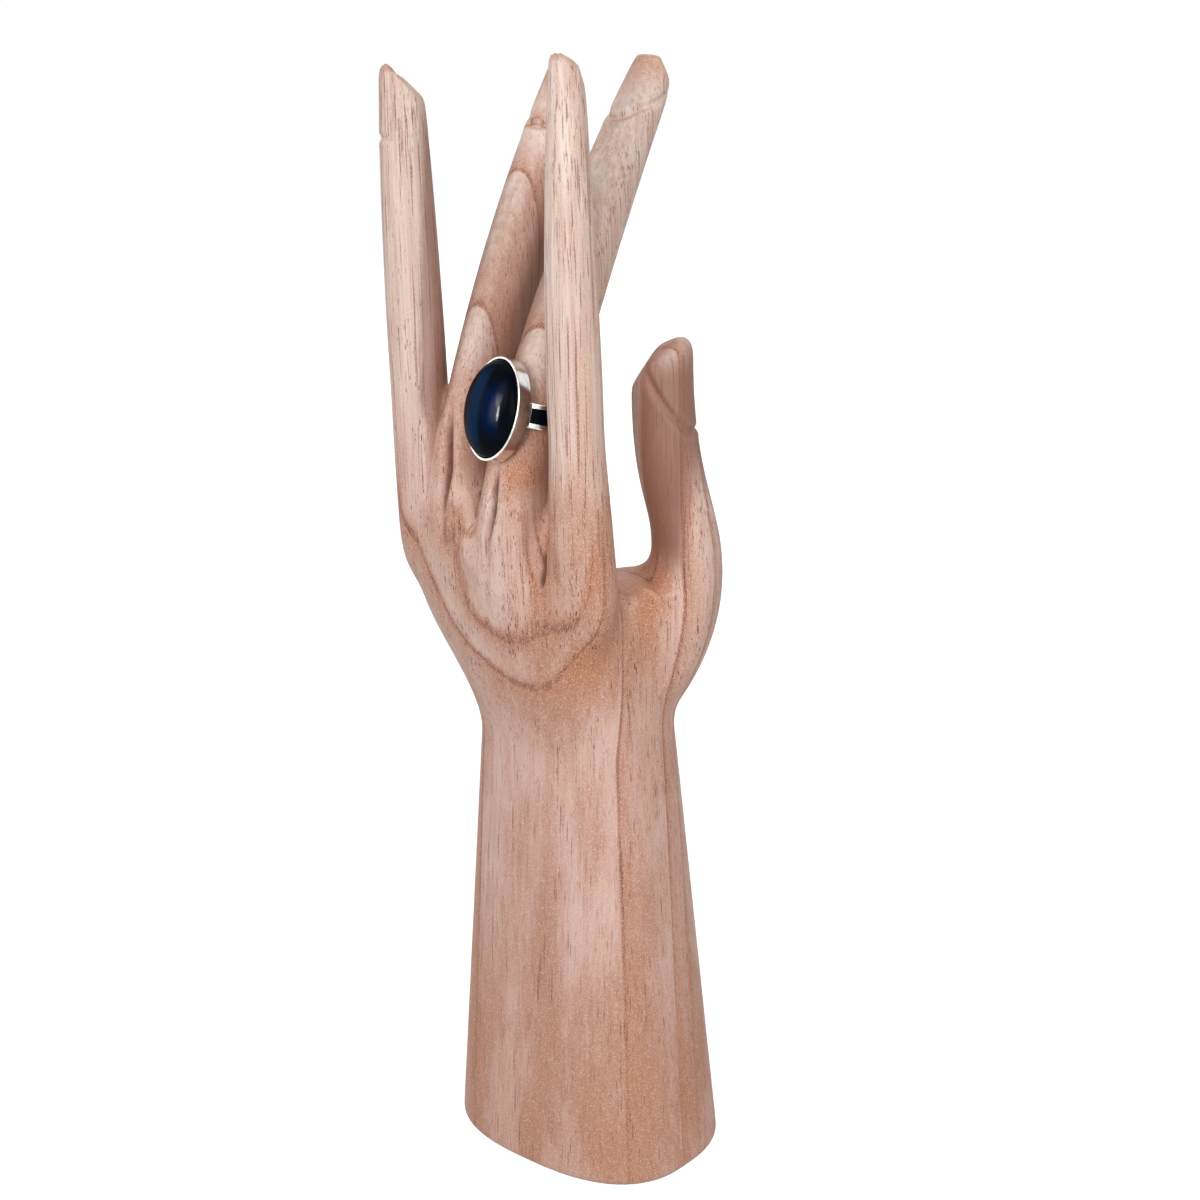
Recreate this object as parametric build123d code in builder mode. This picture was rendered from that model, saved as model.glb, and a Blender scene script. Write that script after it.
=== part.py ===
from build123d import *
import os
from dataclasses import dataclass
from math import ceil, copysign, cos, degrees, pi, radians, sin, tan

# A left hand and forearm carved from one block of wood stands on its cut end, and wears a silver
# ring with an oval stone on its middle finger. The ring slides off along that finger.
# Millimetres, +Z up. The origin is the middle of the cut end. +X is the thumb side, +Y the palm
# side and -Y the back of the hand.

# Forearm, an oval column that tapers from the cut end to the wrist
BASE_WIDTH = 74.8
BASE_DEPTH = 57.2
BASE_EDGE_RADIUS = 1.6
WRIST_WIDTH = 52.6
WRIST_DEPTH = 42.0
WRIST_HEIGHT = 124.0
WRIST_X = -2.0
WRIST_Y = -2.0
FOREARM_SQUARENESS = 2.6

# Palm, which flares from the wrist to the row of knuckles
HEEL_WIDTH = 56.0
HEEL_DEPTH = 40.0
HEEL_HEIGHT = 140.0
HEEL_X = -5.0
HEEL_Y = -6.0
PALM_WIDTH = 61.5
PALM_DEPTH = 33.0
PALM_HEIGHT = 157.0
PALM_X = -9.75
PALM_Y = -13.0
KNUCKLE_WIDTH = 64.0
KNUCKLE_DEPTH = 20.0
KNUCKLE_HEIGHT = 180.0
KNUCKLE_X = -14.0
KNUCKLE_Y = -15.5
KNUCKLE_SLOPE = 13.0
PALM_SQUARENESS = 2.6

# Web, the saddle of wood between the forefinger and the thumb
WEB_FOOT_WIDTH = 40.0
WEB_FOOT_DEPTH = 34.0
WEB_FOOT_HEIGHT = 122.0
WEB_FOOT_X = 0.0
WEB_WIDTH = 21.0
WEB_DEPTH = 40.0
WEB_HEIGHT = 169.0
WEB_X = 12.5
WEB_Y = -2.0
WEB_TURN = -22.0
WEB_SLOPE = 8.0
WEB_CREST_RADIUS = 5.0

# Outline of every oval section
OVAL_POINTS = 24


@dataclass
class Digit:
    """A finger or thumb: where its centreline starts, how it bends and how thick it is.

    The root end is buried in the palm. The heading turns the pad side about Z, from +Y. A lean is
    the tilt of the centreline from upright, across the digit or towards its pad.
    """

    root: tuple
    heading: float
    side_lean: float
    root_lean: float
    joint_lean: float
    tip_lean: float
    knuckle_length: float
    lower_length: float
    upper_length: float
    root_width: float
    root_depth: float
    knuckle_width: float
    knuckle_depth: float
    joint_width: float
    joint_depth: float
    tip_width: float
    tip_depth: float
    bevel: float


FOREFINGER = Digit(
    root=(16.8, -20.5, 150.0), heading=-12.0, side_lean=-4.0,
    root_lean=-2.0, joint_lean=0.5, tip_lean=2.5,
    knuckle_length=24.0, lower_length=60.0, upper_length=95.5,
    root_width=4.0, root_depth=4.0, knuckle_width=17.0, knuckle_depth=17.5,
    joint_width=14.0, joint_depth=14.0, tip_width=7.5, tip_depth=8.5, bevel=34.0)
MIDDLE_FINGER = Digit(
    root=(-7.0, -24.0, 152.0), heading=0.0, side_lean=0.0,
    root_lean=-6.0, joint_lean=25.0, tip_lean=37.5,
    knuckle_length=22.0, lower_length=60.0, upper_length=101.5,
    root_width=4.0, root_depth=4.0, knuckle_width=18.0, knuckle_depth=18.0,
    joint_width=17.6, joint_depth=17.6, tip_width=11.2, tip_depth=11.2, bevel=40.0)
RING_FINGER = Digit(
    root=(-24.8, -22.0, 156.0), heading=0.0, side_lean=-0.9,
    root_lean=-3.0, joint_lean=21.5, tip_lean=30.0,
    knuckle_length=22.0, lower_length=58.0, upper_length=92.0,
    root_width=4.0, root_depth=4.0, knuckle_width=16.5, knuckle_depth=18.0,
    joint_width=15.2, joint_depth=21.0, tip_width=10.5, tip_depth=10.5, bevel=40.0)
LITTLE_FINGER = Digit(
    root=(-36.6, -20.0, 157.0), heading=10.0, side_lean=-3.2,
    root_lean=-1.0, joint_lean=1.0, tip_lean=2.0,
    knuckle_length=20.0, lower_length=60.0, upper_length=83.0,
    root_width=4.0, root_depth=4.0, knuckle_width=15.5, knuckle_depth=17.0,
    joint_width=14.6, joint_depth=15.4, tip_width=10.5, tip_depth=11.0, bevel=50.0)
THUMB = Digit(
    root=(1.0, 0.6, 118.7), heading=120.0, side_lean=0.0,
    root_lean=-51.5, joint_lean=15.5, tip_lean=-6.0,
    knuckle_length=54.5, lower_length=77.7, upper_length=45.5,
    root_width=16.0, root_depth=14.0, knuckle_width=25.0, knuckle_depth=19.5,
    joint_width=18.0, joint_depth=17.0, tip_width=14.0, tip_depth=15.0, bevel=32.0)
DIGITS = (FOREFINGER, MIDDLE_FINGER, RING_FINGER, LITTLE_FINGER, THUMB)
DIGIT_SQUARENESS = 2.1
DIGIT_TAPER = 2.0
STATION_SPACING = 11.0
TIP_STOCK = 4.0
TIP_RIDGE_SHARE = 0.28
TIP_PAD_SHARE = 0.12
TIP_PAD_BEVEL = 64.0
TIP_NAIL_BEVEL = 35.0
TIP_SIDE_BEVEL = 42.0
TIP_SIDE_TILT = 20.0
TIP_SHOULDER_SHARE = 0.22

# Ring, a silver band with a flat on which the bezel of an oval stone stands
RING_CLEARANCE = 0.3
RING_TURN = 11.0
RING_DROOP = 6.5
RING_ABOVE_JOINT = 2.2
SHANK_THICKNESS = 1.05
SHANK_WIDTH = 6.4
SHANK_EDGE_RADIUS = 0.3
SHANK_FLAT_DEPTH = 0.3
PLATE_THICKNESS = 0.9
STONE_LENGTH = 25.0
STONE_WIDTH = 18.0
STONE_GIRDLE = 2.2
STONE_RISE = 6.5
STONE_CLEARANCE = 0.05
BEZEL_THICKNESS = 0.8
BEZEL_HEIGHT = 3.0
BEZEL_RIM_RADIUS = 0.3
STONE_SIDE = -90.0
INLAY_WIDTH = 3.9
INLAY_DEPTH = 0.5
INLAY_START = 44.0
INLAY_END = 80.0
INLAY_CLEARANCE = 0.03


def oval(plane, width, depth, squareness):
    """Superellipse face on a plane. A squareness of 2 is a plain ellipse."""
    points = []
    for step in range(OVAL_POINTS):
        angle = 2 * pi * step / OVAL_POINTS
        across = copysign(abs(cos(angle)) ** (2 / squareness), cos(angle))
        along = copysign(abs(sin(angle)) ** (2 / squareness), sin(angle))
        points.append((across * width / 2, along * depth / 2))
    with BuildSketch(plane) as section:
        with BuildLine():
            Spline(points, periodic=True)
        make_face()
    return section.sketch


def centreline(digit):
    """Two tangent arcs, root to joint and joint to tip, in the plane that the digit bends in."""
    pad = Vector(0, 1, 0).rotate(Axis.Z, digit.heading)
    across = Vector(1, 0, 0).rotate(Axis.Z, digit.heading)
    upward = Vector(0, 0, 1).rotate(Axis((0, 0, 0), pad), digit.side_lean)
    bend_plane = Plane(digit.root, x_dir=pad, z_dir=pad.cross(upward))
    lower_bend = digit.joint_lean - digit.root_lean
    upper_bend = digit.tip_lean - digit.joint_lean
    lean = radians(digit.root_lean)
    with BuildLine(bend_plane):
        lower = JernArc((0, 0), (sin(lean), cos(lean)),
                        digit.lower_length / abs(radians(lower_bend)), -lower_bend)
        upper = JernArc(lower @ 1, lower % 1,
                        digit.upper_length / abs(radians(upper_bend)), -upper_bend)
    return lower, upper, across


def square_plane(digit, distance):
    """Plane square to a digit beyond its joint, with X across the digit and Y towards its pad."""
    _, upper, across = centreline(digit)
    share = distance / digit.upper_length
    return Plane(upper @ share, x_dir=across, z_dir=upper % share)


def girth(digit, distance):
    """Width and depth of a digit at a distance along its centreline from the root."""
    root = Vector(digit.root_width, digit.root_depth)
    knuckle = Vector(digit.knuckle_width, digit.knuckle_depth)
    joint = Vector(digit.joint_width, digit.joint_depth)
    tip = Vector(digit.tip_width, digit.tip_depth)
    if distance <= digit.knuckle_length:
        return root + (knuckle - root) * sin(pi / 2 * distance / digit.knuckle_length)
    if distance <= digit.lower_length:
        share = (distance - digit.knuckle_length) / (digit.lower_length - digit.knuckle_length)
        return knuckle + (joint - knuckle) * share
    share = (distance - digit.lower_length) / digit.upper_length
    return joint + (tip - joint) * share ** DIGIT_TAPER


def carve_digit(digit):
    """Digit along its centreline, its tip whittled to a ridge by flat cuts, the longest on the pad."""
    lower, upper, across = centreline(digit)
    sections = []
    for arc, start in ((lower, 0), (upper, digit.lower_length)):
        steps = ceil(arc.length / STATION_SPACING)
        for step in range(1 if sections else 0, steps + 1):
            share = step / steps
            size = girth(digit, start + share * arc.length)
            plane = Plane(arc @ share, x_dir=across, z_dir=arc % share)
            sections.append(oval(plane, size.X, size.Y, DIGIT_SQUARENESS))
    tip = Plane(upper @ 1, x_dir=across, z_dir=upper % 1)
    sections.append(oval(tip.offset(TIP_STOCK), digit.tip_width, digit.tip_depth, DIGIT_SQUARENESS))
    ridge = -TIP_RIDGE_SHARE * digit.tip_depth
    pad = TIP_PAD_SHARE * digit.tip_depth
    pad_drop = (pad - ridge) * tan(radians(digit.bevel))
    shoulder = TIP_SHOULDER_SHARE * digit.tip_width
    cuts = [((0, ridge, 0), (digit.bevel, 0)),
            ((0, pad, -pad_drop), (TIP_PAD_BEVEL, 0)),
            ((0, ridge, 0), (-TIP_NAIL_BEVEL, 0)),
            ((shoulder, ridge, 0), (TIP_SIDE_TILT, TIP_SIDE_BEVEL)),
            ((-shoulder, ridge, 0), (TIP_SIDE_TILT, -TIP_SIDE_BEVEL))]
    with BuildPart() as blank:
        loft(sections)
        for point, (pad_turn, side_turn) in cuts:
            sideways = tip.z_dir.rotate(Axis((0, 0, 0), tip.y_dir), side_turn)
            normal = sideways.rotate(Axis((0, 0, 0), tip.x_dir), -pad_turn)
            split(bisect_by=Plane(tip.from_local_coords(point), z_dir=normal), keep=Keep.BOTTOM)
    return blank.part


def carve_web():
    """Saddle of wood between the forefinger and the thumb, with a rounded crest."""
    foot_plane = Plane((WEB_FOOT_X, 0, WEB_FOOT_HEIGHT))
    crest_plane = Plane((WEB_X, WEB_Y, WEB_HEIGHT)).rotated((0, WEB_SLOPE, WEB_TURN))
    with BuildPart() as web:
        loft([oval(foot_plane, WEB_FOOT_WIDTH, WEB_FOOT_DEPTH, PALM_SQUARENESS),
              oval(crest_plane, WEB_WIDTH, WEB_DEPTH, PALM_SQUARENESS)])
        fillet(web.faces().sort_by(Axis.Z).last.edges(), WEB_CREST_RADIUS)
    return web.part


knuckle_plane = Plane((KNUCKLE_X, KNUCKLE_Y, KNUCKLE_HEIGHT)).rotated((0, KNUCKLE_SLOPE, 0))
wrist = oval(Plane((WRIST_X, WRIST_Y, WRIST_HEIGHT)), WRIST_WIDTH, WRIST_DEPTH, FOREARM_SQUARENESS)
web = carve_web()
digits = [carve_digit(digit) for digit in DIGITS]

with BuildPart() as carved_hand:
    loft([oval(Plane.XY, BASE_WIDTH, BASE_DEPTH, FOREARM_SQUARENESS), wrist])
    fillet(carved_hand.faces().sort_by(Axis.Z).first.edges(), BASE_EDGE_RADIUS)
    loft([wrist,
          oval(Plane((HEEL_X, HEEL_Y, HEEL_HEIGHT)), HEEL_WIDTH, HEEL_DEPTH, PALM_SQUARENESS),
          oval(Plane((PALM_X, PALM_Y, PALM_HEIGHT)), PALM_WIDTH, PALM_DEPTH, PALM_SQUARENESS),
          oval(knuckle_plane, KNUCKLE_WIDTH, KNUCKLE_DEPTH, PALM_SQUARENESS)])
    add(web)
    add(digits)

# Ring frame: X across the finger, Y towards its pad, Z along it. The stone is on the -Y side, and
# its weight makes the loose ring droop, so the bore is wide enough for the finger at that slant.
seat = square_plane(MIDDLE_FINGER, RING_ABOVE_JOINT)
ring_across = seat.x_dir.rotate(Axis((0, 0, 0), seat.z_dir), -RING_TURN)
ring_along = seat.z_dir.rotate(Axis((0, 0, 0), ring_across), RING_DROOP)
ring_plane = Plane(seat.origin, x_dir=ring_across, z_dir=ring_along)
finger_width = max(MIDDLE_FINGER.joint_width, MIDDLE_FINGER.joint_depth)
corner_share = 2 ** (1 / 2 - 1 / DIGIT_SQUARENESS)
slant = radians(RING_DROOP)
slant_room = SHANK_WIDTH / 2 * sin(slant)
bore_radius = (finger_width / 2 * corner_share + slant_room) / cos(slant) + RING_CLEARANCE
shank_radius = bore_radius + SHANK_THICKNESS
flat_height = shank_radius - SHANK_FLAT_DEPTH
plate_plane = Plane(ring_plane.from_local_coords((0, -flat_height, 0)), x_dir=ring_plane.x_dir,
                    z_dir=-ring_plane.y_dir)
bezel_plane = plate_plane.offset(PLATE_THICKNESS)


def shoulder_block(side, bottom, top, margin):
    """Curved block in one shoulder of the shank, inset by a margin at its edges."""
    edge = degrees(margin / shank_radius)
    start = STONE_SIDE + side * (INLAY_START + edge)
    sweep = side * (INLAY_END - INLAY_START - 2 * edge)
    with BuildPart() as block:
        with BuildSketch(ring_plane.offset(-INLAY_WIDTH / 2 + margin)):
            with BuildLine():
                inner = CenterArc((0, 0), bottom, start, sweep)
                outer = CenterArc((0, 0), top, start, sweep)
                Line(inner @ 0, outer @ 0)
                Line(inner @ 1, outer @ 1)
            make_face()
        extrude(amount=INLAY_WIDTH - 2 * margin)
    return block.part


pocket_radius = shank_radius - INLAY_DEPTH
pockets = [shoulder_block(side, pocket_radius, shank_radius + INLAY_DEPTH, 0) for side in (1, -1)]

with BuildPart() as ring_shank:
    with BuildSketch(Plane(ring_plane.origin, x_dir=ring_plane.x_dir, z_dir=-ring_plane.y_dir)):
        with Locations(((bore_radius + shank_radius) / 2, 0)):
            RectangleRounded(SHANK_THICKNESS, SHANK_WIDTH, SHANK_EDGE_RADIUS)
    revolve(axis=Axis(ring_plane.origin, ring_plane.z_dir))
    split(bisect_by=plate_plane, keep=Keep.BOTTOM)
    add(pockets, mode=Mode.SUBTRACT)

with BuildPart() as bezel_base_plate:
    with BuildSketch(plate_plane):
        Ellipse(STONE_WIDTH / 2 + STONE_CLEARANCE + BEZEL_THICKNESS,
                STONE_LENGTH / 2 + STONE_CLEARANCE + BEZEL_THICKNESS)
    extrude(amount=PLATE_THICKNESS)

with BuildPart() as bezel_wall:
    with BuildSketch(bezel_plane):
        Ellipse(STONE_WIDTH / 2 + STONE_CLEARANCE + BEZEL_THICKNESS,
                STONE_LENGTH / 2 + STONE_CLEARANCE + BEZEL_THICKNESS)
        Ellipse(STONE_WIDTH / 2 + STONE_CLEARANCE, STONE_LENGTH / 2 + STONE_CLEARANCE,
                mode=Mode.SUBTRACT)
    extrude(amount=BEZEL_HEIGHT)
    upward = Axis(bezel_plane.origin, bezel_plane.z_dir)
    rim = bezel_wall.faces().filter_by(GeomType.PLANE).sort_by(upward).last
    fillet(rim.edges(), BEZEL_RIM_RADIUS)

# The stone is turned as a round dome, narrowed to its oval and then laid in the bezel
with BuildPart() as cabochon:
    with BuildSketch(Plane.XZ):
        with BuildLine():
            dome = EllipticalCenterArc((0, STONE_GIRDLE), STONE_LENGTH / 2, STONE_RISE, arc_size=90)
            Polyline(dome @ 1, (0, 0), (STONE_LENGTH / 2, 0), dome @ 0)
        make_face()
    revolve(axis=Axis.Z)
    scale(by=(STONE_WIDTH / STONE_LENGTH, 1, 1))
cabochon.part.locate(bezel_plane.location)

inlay_index_side = shoulder_block(1, pocket_radius, shank_radius, INLAY_CLEARANCE)
inlay_little_side = shoulder_block(-1, pocket_radius, shank_radius, INLAY_CLEARANCE)

PIECES = {
    "carved_hand": carved_hand.part,
    "ring_shank": ring_shank.part,
    "shoulder_inlay_index_side": inlay_index_side,
    "shoulder_inlay_little_side": inlay_little_side,
    "bezel_base_plate": bezel_base_plate.part,
    "bezel_wall": bezel_wall.part,
    "cabochon": cabochon.part,
}
os.makedirs("parts", exist_ok=True)
for name, piece in PIECES.items():
    piece.label = name
    export_step(piece, f"parts/{name}.step")
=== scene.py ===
import math
from dataclasses import dataclass

import bmesh
import bpy
import numpy as np
from mathutils import Matrix, Vector
from mathutils.bvhtree import BVHTree


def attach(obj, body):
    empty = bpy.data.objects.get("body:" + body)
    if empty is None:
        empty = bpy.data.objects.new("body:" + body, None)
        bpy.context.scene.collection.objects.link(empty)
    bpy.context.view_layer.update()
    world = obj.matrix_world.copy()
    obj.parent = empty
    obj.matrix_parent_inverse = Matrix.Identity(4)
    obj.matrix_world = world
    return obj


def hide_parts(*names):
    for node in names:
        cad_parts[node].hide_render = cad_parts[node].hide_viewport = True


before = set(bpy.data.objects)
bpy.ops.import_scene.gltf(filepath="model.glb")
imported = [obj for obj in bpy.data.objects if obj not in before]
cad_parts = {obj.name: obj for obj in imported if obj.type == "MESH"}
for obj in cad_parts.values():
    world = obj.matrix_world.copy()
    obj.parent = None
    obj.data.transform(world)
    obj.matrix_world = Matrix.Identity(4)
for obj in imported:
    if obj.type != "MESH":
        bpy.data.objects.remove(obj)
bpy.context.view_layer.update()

# Units: places and sizes below are millimetres and degrees, and the meshes are metres
MM = 0.001

# Camera: azimuth 0 looks along +Y, and the target is a point on the wrist's axis
VIEW_AZIMUTH = 38
VIEW_ELEVATION = 20
VIEW_DISTANCE = 600
VIEW_TARGET = Vector((2.49, 1.87, 160.18))
VIEW_LENS = 67.5
VIEW_CLIP = (10, 50000)
SENSOR_WIDTH = 36
PHOTO_WIDTH = 1200

# Lamps, room light and floor
LAMP_COLOUR = (1.0, 0.985, 0.97)
ROOM_COLOUR = (0.97, 0.98, 1.0, 1.0)
ROOM_LEVEL = 0.24
WHITE = (1.0, 1.0, 1.0, 1.0)
FLOOR_WIDTH = 16000
FLOOR_COLOUR = (0.35, 0.35, 0.35, 1.0)
FLOOR_GLOW = 0.93


@dataclass
class Lamp:
    """A soft oval lamp: its place round the hand, its width and height, and its power."""
    azimuth: float
    elevation: float
    distance: float
    width: float
    height: float
    power: float


LAMPS = {
    "key_lamp": Lamp(26, 40, 1000, 800, 800, 4.8),
    "fill_lamp": Lamp(88, 18, 1200, 900, 900, 5.0),
    "window_lamp": Lamp(17, 15.5, 1000, 130, 360, 2.8),
    "side_lamp": Lamp(-48, 20, 1200, 800, 800, 1.6),
    "back_lamp": Lamp(215, 30, 1200, 900, 900, 4.6),
}

# Smoothing of the hand: a pair is a range over which a share eases in or out
VOXEL = 0.62
PALM_FOOT = (120, 134)
PALM_HEAD = (192, 176)
PALM_ROUNDS = 420
PALM_WEAR = 0.05
ROOT_FOOT = (140, 150)
ROOT_HEAD = (186, 172)
ROOT_AZIMUTH = 15
ROOT_FACING = (0.55, 0.8)
ROOT_WEAR = 0.5
WEB_PLACE = (3.5, -15.5, 174)
WEB_SIZE = (9, 6, 22)
WEB_SUBDIVISIONS = 4
SHELF_FACING = (0.35, 0.6)
SHELF_SIDE = (14, 17)
SKIN_FOOT = (0.4, 1.2)
SKIN_ROUNDS = 4
SKIN_SHARE = 0.5
TIP_REACH = 20
TIP_ROUNDING = (20, 7)
MOVED_LEAST = 0.001
SLIDE_SHARE = 0.5
NORMAL_LEAST = 1e-12

# Nails, strokes, and the shares of painted shade and paler ridges that follow the carved shape
NAIL_REACH = 14
NAIL_WRAP = (128, 103)
NAIL_CORNER = 2.0
NAIL_CUT = 0.8
NAIL_FOLD = 0.15
STROKE_START = (-0.05, 0.3)
STROKE_END = (1.05, 0.7)
CURVE_ROUNDS = 6
CURVE_SEEN = (0.01, 0.06)
CUT_SEEN = (0.3, 0.9)
SHELTER_CELL = 2.0
SHELTER_BLURS = 2
RAY_STEP = 0.01


@dataclass
class Shelter:
    """Painted shade where close wood closes in: the reach in cells, the distance out, and the range
    seen.
    """
    spread: int
    out: float
    low: float
    high: float


NEAR_SHELTER = Shelter(3, 5, 0.16, 0.5)
WIDE_SHELTER = Shelter(10, 30, 0.032, 0.08)


@dataclass
class Nail:
    """A carved fingernail: its digit's tip and lean, where it faces, and how its outline opens."""
    tip: tuple
    lean: float
    lean_azimuth: float
    face_azimuth: float
    length: float
    half_turn: float
    opening: float
    depth: float
    tip_rounds: int


NAILS = {
    "forefinger": Nail((6.5, -16.6, 305.1), 4.7, -134, 0, 25, 20, 5, 0.1, 3),
    "middle_finger": Nail((-7.0, 38.3, 297.1), 37.5, 180, -8, 21, 23, 8, 0.8, 3),
    "ring_finger": Nail((-27.0, 27.2, 295.6), 30, 180, 4, 20, 22, 8, 0.8, 3),
    "little_finger": Nail((-44.8, -19.2, 299.8), 3.8, -112, -36, 19, 48, 0.2, 0.55, 7),
    "thumb": Nail((17.4, 10.1, 233.5), 6, 120, 120, 24, 30, 6, 0.9, 24),
}

# The little finger's end is cut off at a slope that falls towards the thumb
LITTLE_CUT_DROP = 3.4
LITTLE_CUT_AZIMUTH = 128
LITTLE_CUT_SLOPE = 45


@dataclass
class Stroke:
    """A ridge or a cut drawn in the photo's pixels over the hand; a height below 0 cuts."""
    pixels: tuple
    width: float
    height: float


STROKES = {
    "middle_root_ridge": Stroke(((511, 478), (514, 540), (518, 600)), 3.6, 0.9),
    "ring_root_ridge": Stroke(((468, 484), (470, 530), (474, 580)), 3.4, 2.2),
    "little_root_ridge": Stroke(((436, 400), (430, 470), (426, 530)), 3.2, 1.6),
    "fore_middle_slit": Stroke(((544, 545), (543, 570), (540, 596)), 1.0, -1.3),
    "middle_ring_slit": Stroke(((497, 462), (492, 512), (484, 566)), 1.0, -2.6),
    "middle_ring_slit_end": Stroke(((486, 560), (486, 600), (488, 640)), 1.0, -0.4),
    "ring_little_slit": Stroke(((451, 395), (448, 470), (440, 540)), 1.2, -2.0),
    "thumb_saddle_edge": Stroke(((635, 587), (657, 598), (684, 593)), 1.3, 0.9),
    "forefinger_edge": Stroke(((588, 130), (592, 240), (597, 350)), 0.8, -0.45),
}


def heading(azimuth, elevation):
    """The unit vector towards a place seen at that azimuth and elevation."""
    turn = math.radians(azimuth)
    rise = math.radians(elevation)
    return Vector((math.sin(turn) * math.cos(rise), -math.cos(turn) * math.cos(rise), math.sin(rise)))


def linear(red, green, blue):
    """A colour read as 0 to 255 on screen, as the shader takes it."""
    shares = [level / 255 for level in (red, green, blue)]
    return (*[s / 12.92 if s <= 0.04045 else ((s + 0.055) / 1.055) ** 2.4 for s in shares], 1.0)


def ease(low, high, values):
    """0 below low, 1 above high and smooth between; low may be the greater of the two."""
    share = np.clip((values - low) / (high - low), 0, 1)
    return share * share * (3 - 2 * share)


# Camera
view_back = heading(VIEW_AZIMUTH, VIEW_ELEVATION)
view_right = Vector((view_back.y, -view_back.x, 0)).normalized() * -1
view_up = view_back.cross(view_right)
view_place = VIEW_TARGET + view_back * VIEW_DISTANCE


def photo_ray(pixel):
    """The direction from the camera through a pixel of the photo."""
    across = (pixel[0] / PHOTO_WIDTH - 0.5) * SENSOR_WIDTH / VIEW_LENS
    down = (pixel[1] / PHOTO_WIDTH - 0.5) * SENSOR_WIDTH / VIEW_LENS
    return (view_right * across - view_up * down - view_back).normalized()


def make_camera():
    camera = bpy.data.objects.new("camera", bpy.data.cameras.new("camera"))
    camera.data.lens = VIEW_LENS
    camera.data.sensor_width = SENSOR_WIDTH
    camera.data.clip_start = VIEW_CLIP[0] * MM
    camera.data.clip_end = VIEW_CLIP[1] * MM
    camera.location = view_place * MM
    camera.rotation_euler = (-view_back).to_track_quat("-Z", "Y").to_euler()
    bpy.context.collection.objects.link(camera)
    bpy.context.scene.camera = camera


# Node helpers
def add(tree, kind, inputs=None, **settings):
    """A new node with its settings made and its inputs set or linked."""
    node = tree.nodes.new(kind)
    for name, value in settings.items():
        setattr(node, name, value)
    for name, value in (inputs or {}).items():
        socket = node.inputs[name]
        if isinstance(value, bpy.types.NodeSocket):
            tree.links.new(value, socket)
        else:
            socket.default_value = value
    return node


def calc(tree, operation, first, second=0.0, third=0.0):
    inputs = {0: first, 1: second, 2: third}
    return add(tree, "ShaderNodeMath", inputs, operation=operation).outputs[0]


def times(tree, first, *factors):
    """The product of the first value and the factors."""
    for factor in factors:
        first = calc(tree, "MULTIPLY", first, factor)
    return first


def vector_math(tree, operation, first, second):
    """A vector, or a number where the operation is a dot product."""
    node = add(tree, "ShaderNodeVectorMath", {0: first, 1: second}, operation=operation)
    return node.outputs["Value" if operation == "DOT_PRODUCT" else "Vector"]


def scaled(tree, vector, factor):
    return add(tree, "ShaderNodeVectorMath", {0: vector, "Scale": factor}, operation="SCALE").outputs[0]


def split(tree, vector):
    return add(tree, "ShaderNodeSeparateXYZ", {0: vector}).outputs


def mix(tree, share, first, second):
    """A number between two others."""
    return add(tree, "ShaderNodeMix", {0: share, 2: first, 3: second}).outputs[0]


def blend(tree, share, first, second):
    """A colour between two others."""
    return add(tree, "ShaderNodeMix", {0: share, 6: first, 7: second}, data_type="RGBA").outputs[2]


def tint(tree, colour, ink, *factors):
    """The colour with an ink over it, as strong as the product of the factors."""
    return blend(tree, times(tree, *factors), colour, ink)


def remap(tree, value, low, high, start=0.0, end=1.0, smooth=False):
    inputs = {"Value": value, "From Min": low, "From Max": high, "To Min": start, "To Max": end}
    kind = "SMOOTHSTEP" if smooth else "LINEAR"
    return add(tree, "ShaderNodeMapRange", inputs, interpolation_type=kind, clamp=True).outputs[0]


def hump(tree, value, places):
    """0 outside the first and last place, 1 between the middle two."""
    foot, start, end, head = places
    rise = remap(tree, value, foot, start, smooth=True)
    return times(tree, rise, remap(tree, value, end, head, 1.0, 0.0, True))


def stretch(tree, vector, across, along):
    """A place in millimetres, counted in cells of a texture."""
    return vector_math(tree, "MULTIPLY", vector, (across, across, along))


def noise(tree, vector, grain):
    inputs = {
        "Vector": stretch(tree, vector, grain.across, grain.along), "Scale": 1.0,
        "Detail": grain.detail, "Roughness": grain.roughness, "Distortion": grain.distortion,
    }
    return add(tree, "ShaderNodeTexNoise", inputs).outputs[0]


def bumped(tree, strength, depth, height):
    """A normal that follows a height."""
    inputs = {"Strength": strength, "Distance": depth * MM, "Height": height}
    return add(tree, "ShaderNodeBump", inputs).outputs[0]


def new_material(name):
    """A node material, with its shader and its place on the piece in millimetres."""
    material = bpy.data.materials.new(name)
    material.use_nodes = True
    tree = material.node_tree
    place = add(tree, "ShaderNodeTexCoord").outputs["Object"]
    return material, tree, tree.nodes["Principled BSDF"], scaled(tree, place, 1 / MM)


# Lamps, room light and floor
def make_lamp(name, plan):
    lamp = bpy.data.objects.new(name, bpy.data.lights.new(name, "AREA"))
    lamp.data.shape = "ELLIPSE"
    lamp.data.size = plan.width * MM
    lamp.data.size_y = plan.height * MM
    lamp.data.energy = plan.power
    lamp.data.color = LAMP_COLOUR
    toward = heading(plan.azimuth, plan.elevation)
    lamp.location = (VIEW_TARGET + toward * plan.distance) * MM
    lamp.rotation_euler = (-toward).to_track_quat("-Z", "Y").to_euler()
    bpy.context.collection.objects.link(lamp)


def shown_ray(tree):
    """1 where a ray shows the backdrop: straight, in metal or through glass."""
    path = add(tree, "ShaderNodeLightPath").outputs
    mirrored = calc(tree, "MAXIMUM", path["Is Glossy Ray"], path["Is Transmission Ray"])
    return calc(tree, "MAXIMUM", path["Is Camera Ray"], mirrored)


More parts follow.
